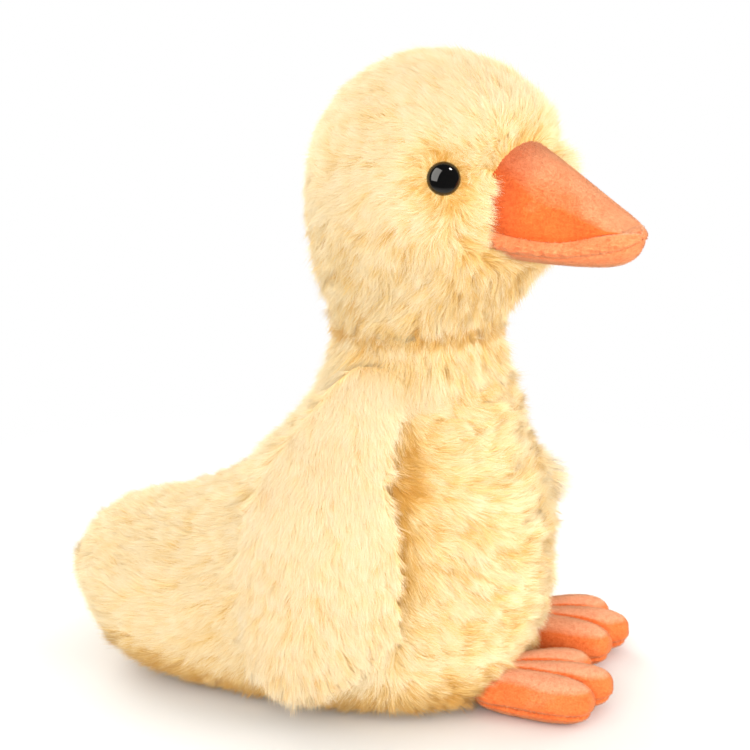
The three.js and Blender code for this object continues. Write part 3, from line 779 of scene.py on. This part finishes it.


# The warm ramps colour the warm strands: painted shade in creases, under the bill, round the eyes,
# beside the wings and along the bottom, and also random tone.
FUR = fur_material("cream_fur", ("#f2cf86", "#feeabe", "#fff3da"), ("#d9a24a", "#f3cf86", "#fee9ba"))
WING_FUR = fur_material("pale_fur", ("#f6d698", "#fde9c0", "#fff2d9"), ("#ecba6c", "#f9d398", "#fee5be"))
# The backing is golden, painted shade that makes the gaps in the pile look deep.
BACKING = cloth_material("fur_backing", "#f6d48c", "#fae0a4")
LINING = cloth_material("wing_lining_cloth", "#f4dcae", "#f9e8c6")
# The root colours paint shade where the bill leaves the face.
VELOUR = velour_material("orange_velour", "#ec6c30", "#f77f3c", "#ffb486", root="#b8532f")
FOOT_VELOUR = velour_material("peach_velour", "#e8743c", "#f88c4e", "#ffba94")
LIP_VELOUR = velour_material("pale_orange_velour", "#f58c58", "#fda673", "#ffc09a", root="#ee9060")
EYE = gloss_material("black_eye", "#050505", "#080707", 0.04)
WASHER = plastic_material("white_plastic", "#e6e3dc", "#f4f2ee")


# ---------------- pieces


def soft(name, rings, material, body, nodes):
    """A stuffed piece through rings that stands for CAD nodes. Returns its points, faces, normals."""
    points, faces = lofted(rings)
    obj = make_object(name, points, faces, material, body)
    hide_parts(*nodes)
    return points, faces, vertex_normals(points, faces)


def make_body():
    """Skin of body, neck and tail: tufts on the chest, with painted shade beside the wings and along the
    bottom.
    """
    rings = body_points(PILE_SEAT, 90, 120)
    rings[..., 2] = np.maximum(rings[..., 2], CLOTH_FLOOR)
    nodes = ["body_skin", "body_stuffing", "bead_bag"]
    points, faces, normals = soft("body_cloth", rings, BACKING, "body", nodes)
    rng = np.random.default_rng(11)

    def keep(p, n):
        return (p[:, 2] > 1.5) & (n[:, 2] > -0.93) & (p[:, 2] < NECK_HEIGHT + 0.5)

    p, up = scatter(points, faces, normals, SPACING, rng, keep)
    x, y, z = p.T
    # Zones, 0 outside them and 1 inside
    tail = smoothstep(-x, 20, 90)
    chest = smoothstep(x, 5, 35)
    below_neck = fade(z, 105, 140)
    collar = smoothstep(z, 136, 142)
    # Painted shade: darker, warmer strands near the floor.
    bottom = fade(z, 5, 24)
    front = smoothstep(x, -4, 22) * below_neck
    over_wing = smoothstep(z, 126, 131) * fade(z, 136, 140)
    over_wing = over_wing * smoothstep(np.abs(y), 12, 24) * fade(np.abs(x + 4), 18, 26)
    flank = smoothstep(np.abs(y), 22, 38)
    # Painted shade beside the wing's front edge and in the fold along it.
    wing_edge_shade = bell(x, 11, 8) * flank * smoothstep(z, 34, 60) * fade(z, 100, 122)
    fold_shade = bell(x, 8, 3) * flank * smoothstep(z, 40, 70) * fade(z, 112, 126)
    # Brushed down the neck, forward on the breast and back along the tail
    forward = np.cross(-DOWN, up) * np.sign(-y)[:, None] * (1 - bell(y, 0, 14))[:, None]
    flow = DOWN * (1 - 0.75 * tail - 0.65 * front)[:, None] + forward * (1.1 * front)[:, None]
    flow = flow + BACK * (0.40 * (1 - front) * below_neck + 0.9 * tail)[:, None]
    flow = flow + waves(p, 55, 3) * (0.25 + 0.35 * chest * below_neck)[:, None] + waves(p, 22, 4, 0.18)
    flow = flow + waves(p, 12, 6) * (0.12 + 0.38 * chest * below_neck)[:, None]
    flow = flow * (1 - over_wing)[:, None] + DOWN * over_wing[:, None]
    tuft = waves(p, 16, 5)[:, 0]
    patch = waves(p, 15, 17)[:, 0]
    long = LENGTHS["body"] + 0.6 * chest - 0.6 * tail + (0.4 + 0.9 * chest + 0.5 * tail) * tuft
    long = long + OVER_WING_LENGTH * over_wing - 1.6 * collar
    lean = 0.10 * tail + 0.02 * chest + (0.05 + 0.10 * chest + 0.05 * tail) * tuft
    lean = lean - 0.16 * over_wing + 0.15 * collar
    # Painted shade: warmer, deeper strands beside the wing's front edge, in the fold beside it and along
    # the bottom; chest and patches vary the tone.
    warmth = 0.10 + 0.10 * chest - 0.04 * tail + 0.5 * wing_edge_shade + 0.9 * bottom + 0.5 * fold_shade
    warmth = warmth + (0.08 + 0.10 * chest - 0.04 * tail) * patch
    painted_shade_and_tone = 0.35 * wing_edge_shade + 1.2 * bottom + 0.07 * chest * (1 + patch) + 0.6 * fold_shade
    pull = 0.40 + 0.35 * chest
    made = pile(p, up, flow, rng, long, LEANS["body"] + lean, warmth, painted_shade_and_tone, pull, LOCKS["body"])
    add_pile("body_fur", "body", made, (-30, 0), FUR)


def make_base():
    """Oval cloth panel that closes the underside."""
    rings = [
        level_ring(PANEL_MIDDLE, height, PANEL_HALF_LENGTH * share, PANEL_HALF_WIDTH * share, turns(72))
        for share, height in ((1.0, 1.6), (1.0, 0.4), (0.98, 0.0), (0.6, 0.0), (0.2, 0.0))
    ]
    soft("base_cloth", np.array(rings), LINING, "body", ["base_panel"])


def eye_frame(side):
    """Place on the head and outward direction of an eye. side is -1 right, 1 left."""
    lift = EYE_RISE / CROWN_RISE
    level = math.sqrt(1 - lift**2)
    angle = math.radians(EYE_ANGLE)
    radii = np.array([HEAD_RADIUS, HEAD_WIDTH / 2, CROWN_RISE])
    way = np.array([level * math.cos(angle), side * level * math.sin(angle), lift])
    return [HEAD_FORWARD, 0, HEAD_CENTRE_HEIGHT] + radii * way, unit(way / radii)


def make_head():
    """Skin of the head, with pile that leaves room for the eyes and the bill."""
    points, faces, normals = soft(
        "head_cloth", head_points(PILE_SEAT, 40, 30, 120), BACKING, "head",
        ["head_skin", "head_stuffing"])
    rng = np.random.default_rng(12)
    eyes = [eye_frame(-1), eye_frame(1)]

    def keep(p, n):
        kept = (p[:, 2] > NECK_HEIGHT - 0.5) & ((n[:, 2] > -0.9) | (p[:, 2] > NECK_HEIGHT + 2))
        for place, outward in eyes:
            off = np.linalg.norm(p - (place - outward * PILE_SEAT), axis=1)
            kept &= off > EYE_DIAMETER / 2 - FUR_OVER_EYE
        over = p[:, 2] - BILL_SEAM_HEIGHT
        high = np.where(over > 0, BILL_RIDGE_HEIGHT * 0.84, BILL_UNDER_DEPTH - 1)
        inside = (p[:, 1] / (BILL_WIDTH / 2 - 1)) ** 2 + (over / high) ** 2 < 1
        return kept & ~(inside & (p[:, 0] > 20))

    p, up = scatter(points, faces, normals, SPACING, rng, keep)
    x, y, z = p.T
    # Zones, 0 outside them and 1 inside
    face = smoothstep(x, 18, 44)
    cheeks = smoothstep(-z, -205, -170)
    brow = face * smoothstep(z, 203, 214)
    # Painted shade in the crease above the neck seam.
    neck_crease_shade = fade(z, 146, 154)
    # Painted shade under the bill.
    under = fade(z, 170, 182) * face
    far_brow = smoothstep(x, 14, 32) * smoothstep(y, 3, 16) * smoothstep(z, 188, 200)
    far_brow = far_brow * fade(z, 208, 232) * smoothstep(np.linalg.norm(p - eyes[1][0], axis=1), 9, 17)
    reach = np.where(z > BILL_SEAM_HEIGHT, 29, 12)
    to_bill = np.hypot(y / BILL_WIDTH * 2, (z - BILL_SEAM_HEIGHT) / reach)
    beside = fade(to_bill, 1.0, 1.5) * (x > 20)
    top = beside * smoothstep(z, 203, 212)
    fringe = np.where(y < 0, fade(to_bill, 1.05, 1.45), 0.0) * (x > 20) * (1 - top)
    # Brushed away from the bill, and down on the cheeks
    away = unit(p - np.array([60.0, 0.0, 198.0]))
    flow = away * (1 - 0.35 * cheeks)[:, None] + DOWN * (0.12 + 0.95 * cheeks)[:, None]
    flow = flow + waves(p, 45, 7, 0.2) + waves(p, 20, 8, 0.12)
    flow = flow + waves(p, 11, 10) * (0.06 + 0.3 * cheeks)[:, None]
    tuft = waves(p, 15, 9)[:, 0]
    patch = waves(p, 14, 18)[:, 0]
    long = LENGTHS["head"] + 2.0 * cheeks - 0.6 * face + 0.8 * brow + (0.2 + 0.8 * cheeks) * tuft
    lean = 0.06 - 0.04 * cheeks + (0.02 + 0.09 * cheeks) * tuft
    # Painted shade: warmer, deeper strands in the crease above the neck seam and under the bill; cheeks
    # and patches vary the tone.
    warmth = 0.08 + 0.07 * cheeks + 0.6 * neck_crease_shade + 0.3 * under + (0.05 + 0.14 * cheeks) * patch
    painted_shade_and_tone = 0.35 * neck_crease_shade + 0.25 * under + 0.08 * cheeks * (1 + patch)
    for place, _ in eyes:
        near = np.linalg.norm(p - place, axis=1)
        long = long * (0.55 + 0.45 * smoothstep(near, 7, 14))
        ring = fade(near, 7.5, 12)
        flow = flow * (1 - ring)[:, None] + unit(p - place) * (1.6 * ring)[:, None]
        # Painted shade round the sunken eye.
        shade = bell(near, 8, 4)
        warmth = warmth + 0.6 * shade
        painted_shade_and_tone = painted_shade_and_tone + 0.45 * shade
    long = long * (1 - 0.35 * top) + FAR_BROW_LENGTH * far_brow * (1 - top)
    lean = lean - 0.45 * (beside - top) - 0.35 * far_brow
    # Painted shade beside the bill's base and under the brow that overhangs it.
    warmth = warmth + 0.25 * beside
    painted_shade_and_tone = painted_shade_and_tone + 0.25 * top
    pull = 0.28 + 0.47 * cheeks
    flow = flow - away * (2.2 * fringe)[:, None]
    made = pile(p, up, flow, rng, long, LEANS["head"] + lean, warmth, painted_shade_and_tone, pull, LOCKS["head"], 1.1)
    add_pile("head_fur", "head", made, (9, 0), FUR)


def make_eye(name, side):
    """Glossy dome on a thin rim and a stem, turned about the eye's axis."""
    place, outward = eye_frame(side)
    rim_top = -EYE_POCKET_DEPTH + EYE_GAP + EYE_RIM
    radius = EYE_DIAMETER / 2
    profile = []
    for step in range(17):
        a = math.pi / 2 * step / 16
        profile.append((0.985 * radius * math.sin(a), rim_top + EYE_DOME_HEIGHT * math.cos(a)))
    profile += [
        (0.995 * radius, rim_top - 0.05), (radius, rim_top - 0.2), (radius, rim_top - 0.7),
        (radius * 0.9, rim_top - EYE_RIM), (EYE_STEM_RADIUS, rim_top - EYE_RIM),
        (EYE_STEM_RADIUS, EYE_STEM_END), (0.0, EYE_STEM_END)]
    angle = turns(64)[:, None]
    sideways = unit(np.cross(outward, -DOWN))
    upward = np.cross(sideways, outward)
    rings = [
        place + outward * h + (max(r, 0.01) * (np.cos(angle) * sideways + np.sin(angle) * upward))
        for r, h in profile
    ]
    points, faces = lofted(np.array(rings))
    eye = make_object(name, points, faces, EYE, "head")
    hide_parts("right_eye" if side < 0 else "left_eye")


def make_bill():
    """Smooth upper half over a crinkled lip that sticks out a little, both napped."""
    rng = np.random.default_rng(31)
    for upper, name, material, nodes in (
        (True, "bill_upper_cloth", VELOUR, ["bill_upper_skin", "bill_stuffing"]),
        (False, "bill_lower_cloth", LIP_VELOUR, ["bill_lower_skin"]),
    ):
        rings, s, lift = bill_half(upper, 90, 110)
        centre = np.stack([rings[..., 0].mean(1), rings[..., 1].mean(1) * 0,
                           np.full(len(rings), BILL_SEAM_HEIGHT)], -1)[:, None]
        outward = unit((rings - centre) * [0.3, 1, 1])
        push = -SEAM_DEPTH * bell(lift, 0, 0.12)
        if not upper:
            band = smoothstep(lift, 0.08, 0.28) * fade(lift, 0.40, 0.52)
            crinkle = waves(rings.reshape(-1, 3) * [0.9, 0.9, 1.5], 2.6, 32)[:, 0].reshape(lift.shape)
            stitch = 0.5 + 0.5 * np.cos(2 * np.pi * s * (BILL_REACH - BILL_BACK) / STITCH_LENGTH)
            push = push + band * (LIP_BULGE + LIP_CRINKLE * crinkle)
            push = push - bell(lift, 0.52, 0.05) * (0.15 + 0.55 * stitch)
        rings = rings + outward * push[..., None]
        points, faces, normals = soft(name, rings, material, "head", nodes)
        spikes, tri, shading = fuzz(
            points, faces, normals, NAP_SPACINGS["bill"], np.array([0.6, 0, -0.3]), rng)
        seen = spikes.reshape(-1, 4, 3)[:, 0, 0] > NAP_START
        nap = make_object(f"{name}_nap", spikes, tri[np.repeat(seen, 3)], material, "head", shading)


def make_wing(side):
    """Fur panel and lining of a wing, with pile that leans over its rim."""
    sign = -1 if side == "right" else 1
    body = f"{side}_wing"
    for name, half, material, slot, nodes in (
        ("cloth", 1, BACKING, "fur", [f"{body}_outer", f"{body}_padding"]),
        ("lining_cloth", -1, LINING, "lining", [f"{body}_lining"]),
    ):
        rings = wing_points(WING_PILE_SEAT, 60, 72, side, half)
        soft(f"{body}_{name}", rings, material, body, nodes)
    points, faces = lofted(wing_points(WING_PILE_SEAT, 60, 72, side))
    normals = vertex_normals(points, faces)
    rng = np.random.default_rng(21 if side == "right" else 22)
    p, up = scatter(points, faces, normals, SPACING, rng, lambda p, n: n[:, 1] * sign > -0.75)
    x, _, z = p.T
    # Zones, 0 outside them and 1 inside
    edge = unit(up * [1, 0, 1])
    rim = smoothstep(1 - np.abs(up[:, 1]), 0.30, 0.85) * fade(edge[:, 2], 0.45, 0.85)
    low = fade(z, 22, 44)
    lower = fade(z, 40, 95)
    flow = np.tile([0.18, 0.1 * sign, -1.0], (len(p), 1))
    flow = flow * (1 - 0.6 * rim)[:, None] + edge * (0.35 + 0.9 * rim)[:, None]
    flow = flow + waves(p, 45, 13, 0.3) + waves(p, 18, 14, 0.18)
    tuft = waves(p, 14, 15)[:, 0]
    long = LENGTHS["wing"] + (0.2 + 0.9 * lower) * tuft + (1.2 + 1.2 * tuft) * rim
    long = long + 1.2 * low + 0.8 * lower
    lean = (0.03 + 0.08 * lower) * tuft - 0.5 * rim - 0.05 * low - 0.06 * lower
    if side == "left":
        # The tuft that shows beyond the chest, on the front edge
        front = rim * (edge[:, 0] > 0)
        edge_x = x[np.abs(z - 72) < 6].max()
        tip = smoothstep(x, edge_x - 12, edge_x - 5) * bell(z, FAR_TUFT_HEIGHT, 8)
        long = long + FAR_TUFT_LENGTH * tip - 3.0 * front * fade(z, 56, 62)
        lean = lean - 0.25 * tip
        flow = flow + tip[:, None] * [3.5, -0.4, -0.6]
        rim = rim * (1 - 2 * tip)
    # Painted shade: warmer strands along the rim, where the wing's edge is in shade; the waves vary the
    # tone.
    warmth = 0.04 + 0.14 * rim + 0.05 * waves(p, 20, 19)[:, 0]
    pull = 0.10 + 0.6 * rim + 0.15 * low + 0.40 * lower
    facing = unit(up + rim[:, None] * [0.0, 1.5 * sign, 0.4])
    lean = lean + LEANS["wing"]
    made = pile(p, up, flow, rng, long, lean, warmth, 0.0, pull, LOCKS["wing"], 0.8, facing)
    add_pile(f"{body}_fur", body, made, (x.mean(), 0), WING_FUR)


def toe_rings(length, width, turn):
    """Rings of one toe as a stretched ball, from the ankle along its own heading."""
    angle = turns(40)
    half = (FOOT_HEIGHT + 1) / 2
    rings = []
    for step in range(1, 28):
        a = math.pi * step / 28
        x = np.full(len(angle), length / 2 * (1 - math.cos(a)))
        r = (1 - abs(math.cos(a)) ** TOE_BLUNTNESS) ** (1 / TOE_BLUNTNESS)
        rings.append(np.stack([x, width / 2 * r * np.cos(angle), half * r * np.sin(angle)], -1))
    rings = np.array(rings) + [0, 0, FOOT_LIFT + FOOT_HEIGHT - half]
    t = math.radians(turn)
    x, y = rings[..., 0].copy(), rings[..., 1].copy()
    rings[..., 0], rings[..., 1] = x * math.cos(t) - y * math.sin(t), x * math.sin(t) + y * math.cos(t)
    return rings


def make_foot(side):
    """Three toes and their web in one cloth, with grooves on top, a seam round the sole and nap."""
    forward, sideways, heading = ANKLES[side]
    side_toe = TOE_LENGTH * SIDE_TOE_SHARE
    points, faces, base = [], [], 0
    for toe in ((TOE_LENGTH, TOE_WIDTH, 0), (side_toe, TOE_WIDTH, TOE_SPLAY),
                (side_toe, TOE_WIDTH, -TOE_SPLAY), (WEB_LENGTH, WEB_WIDTH, 0)):
        p, f = lofted(toe_rings(*toe))
        points.append(p)
        faces.append(f + base)
        base += len(p)
    body = f"{side}_foot"
    foot = make_object(f"{body}_cloth", np.vstack(points), np.vstack(faces), FOOT_VELOUR, body)
    # The toes run into each other, so they are made one skin before the foot is set in its place
    remesh = foot.modifiers.new("remesh", "REMESH")
    remesh.mode, remesh.voxel_size = "VOXEL", FOOT_VOXEL / 1000
    smooth = foot.modifiers.new("smooth", "SMOOTH")
    smooth.factor, smooth.iterations = 0.5, 8
    graph = bpy.context.evaluated_depsgraph_get()
    mesh = bpy.data.meshes.new_from_object(foot.evaluated_get(graph))
    foot.modifiers.clear()
    foot.data = mesh
    mesh.shade_smooth()
    co = np.zeros(len(mesh.vertices) * 3, np.float32)
    mesh.vertices.foreach_get("co", co)
    p = co.reshape(-1, 3).astype(float) * 1000 - SHIFT
    top = smoothstep(p[:, 2], FOOT_LIFT + SOLE_THICKNESS, FOOT_LIFT + FOOT_HEIGHT)
    radius = np.hypot(p[:, 0], p[:, 1])
    for turn in (-TOE_SPLAY / 2, TOE_SPLAY / 2):
        t = math.radians(turn)
        across = np.abs(p[:, 1] * math.cos(t) - p[:, 0] * math.sin(t))
        p[:, 2] -= TOE_GROOVE_DEPTH * (bell(across, 0, 1.0) * smoothstep(radius, 10, 20) * top)
    seam = np.exp(-(((p[:, 2] - FOOT_LIFT - SOLE_THICKNESS) / 0.8) ** 2))
    middle = np.array([TOE_LENGTH * 0.45, 0.0])
    round_foot = np.arctan2(p[:, 1], p[:, 0] - middle[0])
    stitch = 1 + 0.35 * np.cos(SOLE_STITCHES * round_foot)
    p[:, :2] += unit(middle - p[:, :2]) * (SOLE_SEAM_DEPTH * seam * stitch)[:, None]
    h = math.radians(heading)
    x = forward + p[:, 0] * math.cos(h) - p[:, 1] * math.sin(h)
    y = sideways + p[:, 0] * math.sin(h) + p[:, 1] * math.cos(h)
    p = np.stack([x, y, np.maximum(p[:, 2], FOOT_LIFT * 0.4)], -1)
    mesh.vertices.foreach_set("co", ((p + SHIFT) / 1000).astype(np.float32).ravel())
    mesh.update()
    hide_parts(f"{body}_upper", f"{body}_sole", f"{body}_stuffing")
    mesh.calc_loop_triangles()
    tri = np.zeros(len(mesh.loop_triangles) * 3, np.int32)
    mesh.loop_triangles.foreach_get("vertices", tri)
    tri = tri.reshape(-1, 3)
    rng = np.random.default_rng(41 if side == "right" else 42)
    spikes, small, shading = fuzz(
        p, tri, vertex_normals(p, tri), NAP_SPACINGS["foot"], np.array([0.6, 0, -0.2]), rng)
    spikes[:, 2] = np.maximum(spikes[:, 2], PILE_FLOOR)
    nap = make_object(f"{body}_nap", spikes, small, FOOT_VELOUR, body, shading)


def dress_washers():
    for name in ("right_eye_washer", "left_eye_washer"):
        mesh = frame["nodes"][name].data
        mesh.materials.clear()
        mesh.materials.append(WASHER)


# ---------------- stage


def make_camera():
    """At the photograph's angle, one metre from its aim."""
    around, up = math.radians(CAMERA_TURN), math.radians(CAMERA_RISE)
    back = Vector((math.sin(around) * math.cos(up), -math.cos(around) * math.cos(up), math.sin(up)))
    data = bpy.data.cameras.new("camera")
    data.lens = CAMERA_LENS
    camera = bpy.data.objects.new("camera", data)
    bpy.context.scene.collection.objects.link(camera)
    camera.location = (Vector(CAMERA_AIM) + Vector(SHIFT)) / 1000 + back
    camera.rotation_euler = back.to_track_quat("Z", "Y").to_euler()
    bpy.context.scene.camera = camera


def area_light(name, place, size, power, mirrored=False):
    """A soft lamp, or with mirrored a card that is only seen in glossy things."""
    data = bpy.data.lights.new(name, "AREA")
    data.shape, data.size, data.size_y = "RECTANGLE", size[0], size[1]
    data.energy, data.color = power, rgba("#fffaf2")[:3]
    light = bpy.data.objects.new(name, data)
    bpy.context.scene.collection.objects.link(light)
    light.location = place
    light.rotation_euler = (Vector(place) - Vector(LAMP_AIM)).to_track_quat("Z", "Y").to_euler()
    light.visible_glossy, light.visible_diffuse = mirrored, not mirrored


def make_floor():
    """Pale round floor that fades into the white ground."""
    n = Nodes(bpy.data.materials.new("floor"))
    n.set(Roughness=1.0, Base_Color=(0.75, 0.745, 0.735, 1), Specular_IOR_Level=0.0)
    far = n.add("ShaderNodeVectorMath", {0: n.place()}, operation="LENGTH").outputs["Value"]
    clear = n.add("ShaderNodeBsdfTransparent").outputs[0]
    mixed = n.add(
        "ShaderNodeMixShader", {0: n.remap(far, 0.0, 1.0, 0.13, 0.34), 1: n.shader.outputs[0], 2: clear})
    n.tree.links.new(mixed.outputs[0], n.tree.nodes["Material Output"].inputs["Surface"])
    rings = np.array([level_ring(0, -0.05, r, r, turns(96)) for r in (5, 100, 300, 620)])
    points, faces = lofted(rings, close_ends=False)
    mesh = bpy.data.meshes.new("floor")
    mesh.from_pydata((points / 1000).tolist(), [], faces[:, ::-1].tolist())
    mesh.materials.append(n.owner)
    floor = bpy.data.objects.new("floor", mesh)
    bpy.context.scene.collection.objects.link(floor)


def make_light():
    """White ground, a softer sky on the toy, lamps, and cards that the eyes reflect."""
    world = bpy.data.worlds.new("studio")
    bpy.context.scene.world = world
    n = Nodes(world, "Background")
    rays = n.add("ShaderNodeLightPath").outputs
    seen = n.calc("MAXIMUM", rays["Is Camera Ray"], rays["Is Transmission Ray"])
    n.link(n.remap(seen, n.remap(rays["Is Glossy Ray"], SKY_LIGHT, SKY_IN_GLOSS), 1.0), "Strength")
    n.set(Color=(1, 1, 1, 1))
    for lamp in LAMPS:
        area_light(*lamp)
    for card in MIRRORED_CARDS:
        area_light(*card, mirrored=True)
    bpy.context.scene.view_settings.view_transform = "Standard"


make_camera()
make_body()
make_base()
make_head()
make_eye("right_eye_dome", -1)
make_eye("left_eye_dome", 1)
make_bill()
for wing_side in ("right", "left"):
    make_wing(wing_side)
for foot_side in ("right", "left"):
    make_foot(foot_side)
dress_washers()
make_floor()
make_light()


bpy.context.view_layer.update()
